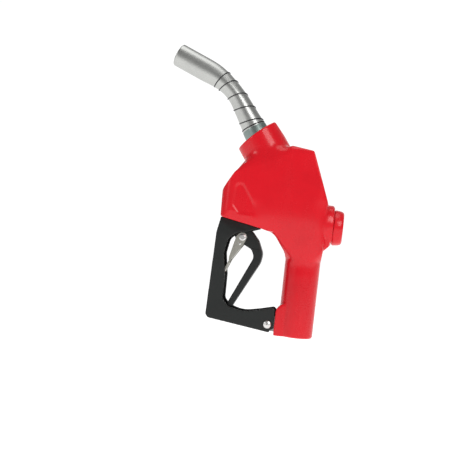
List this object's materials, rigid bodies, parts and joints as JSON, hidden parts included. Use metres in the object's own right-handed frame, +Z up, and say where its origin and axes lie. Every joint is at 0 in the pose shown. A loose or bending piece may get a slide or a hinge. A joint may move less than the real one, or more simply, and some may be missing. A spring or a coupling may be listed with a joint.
{
  "type": "automatic fuel nozzle",
  "caption": "Hand-held automatic fuel nozzle: bent metal spout with an anchor spring, red covered grip and valve head, black squeeze lever inside a guard.",
  "frame": {"origin": "centre of the hose inlet face at the foot of the grip", "axes": "+Z up along the grip axis, +X towards the main valve cap and away from the lever, +Y across the nozzle; the x-z plane is its mid plane"},
  "size_m": [0.1929, 0.052, 0.2868],
  "materials": {
    "casting": "satin cast",
    "red_vinyl": "glossy moulded soft cover",
    "machined": "satin machined",
    "steel": "bright",
    "spring_steel": "drawn wire",
    "dark_spring": "dark drawn wire",
    "brass": "machined",
    "nitrile": "matt",
    "black_nylon": "matt",
    "black_coated": "matt black coated",
    "zinc_sheet": "zinc plated sheet"
  },
  "bodies": {
    "nozzle_body": {"body_casting": "casting", "body_cover": "red_vinyl", "valve_cap": "machined", "valve_cap_boot": "red_vinyl", "valve_cap_oring": "nitrile", "main_valve_spring": "spring_steel", "valve_seat": "machined", "stem_gland_nut": "brass", "stem_packing": "nitrile", "spout_adapter": "machined", "spout_orings": "nitrile", "spout_nut": "machined", "spout_tube": "machined", "spout_anchor_spring": "dark_spring", "vent_tube": "brass", "vent_ferrule": "brass", "check_valve_seat": "brass", "check_valve_spring": "spring_steel", "check_valve_guide": "black_nylon", "plunger_sleeve": "steel", "plunger_spring": "spring_steel", "diaphragm": "nitrile", "diaphragm_spring": "spring_steel", "diaphragm_cap": "machined", "diaphragm_cap_screws": "steel", "lever_guard": "black_coated", "hold_open_rack": "zinc_sheet", "guard_bolt": "steel", "guard_nut": "steel", "guard_screws": "steel", "inlet_strainer": "brass"},
    "latch_plunger": {"plunger": "steel", "locking_balls": "steel"},
    "squeeze_lever": {"lever": "black_coated", "lever_pin": "steel", "clip_rivet": "steel"},
    "hold_open": {"hold_open_clip": "zinc_sheet", "clip_spring": "spring_steel"},
    "main_valve": {"main_stem": "steel", "main_poppet": "brass", "poppet_disc": "nitrile", "poppet_nut": "brass"},
    "check_valve": {"check_valve_poppet": "nitrile"},
    "shutoff_latch": {"latch_pin": "steel", "diaphragm_plates": "steel"}
  },
  "joints": [
    {"name": "plunger_slide", "type": "slide", "parent": "nozzle_body", "child": "latch_plunger", "axis": [-0.9326, 0, -0.361], "range_m": [0, 0.006], "stiffness_N_per_m": 900, "springref_m": -0.004, "deforming": ["plunger_spring"]},
    {"name": "lever_hinge", "type": "hinge", "parent": "latch_plunger", "child": "squeeze_lever", "pos_m": [-0.068, 0, 0.13], "axis": [0, -1, 0], "range_deg": [0, 16], "stiffness_Nm_per_rad": 1.2, "springref_deg": -14.32},
    {"name": "clip_hinge", "type": "hinge", "parent": "squeeze_lever", "child": "hold_open", "pos_m": [-0.0635, 0, 0.0951], "axis": [0, -1, 0], "range_deg": [-3, 18], "stiffness_Nm_per_rad": 0.02},
    {"name": "main_valve_slide", "type": "slide", "parent": "nozzle_body", "child": "main_valve", "axis": [1, 0, 0], "range_m": [0, 0.0045], "stiffness_N_per_m": 200, "springref_m": -0.004, "deforming": ["main_valve_spring"]},
    {"name": "check_valve_slide", "type": "slide", "parent": "nozzle_body", "child": "check_valve", "axis": [-0.5519, 0, 0.8339], "range_m": [0, 0.004], "stiffness_N_per_m": 150, "springref_m": -0.004, "deforming": ["check_valve_spring"]},
    {"name": "shutoff_latch_slide", "type": "slide", "parent": "nozzle_body", "child": "shutoff_latch", "axis": [0.9326, 0, 0.361], "range_m": [0, 0.004], "stiffness_N_per_m": 400, "springref_m": -0.003, "deforming": ["diaphragm_spring", "diaphragm"]}
  ],
  "couplings": [
    {"joint": "main_valve_slide", "follows": "lever_hinge", "m_per_rad": 0.015}
  ]
}
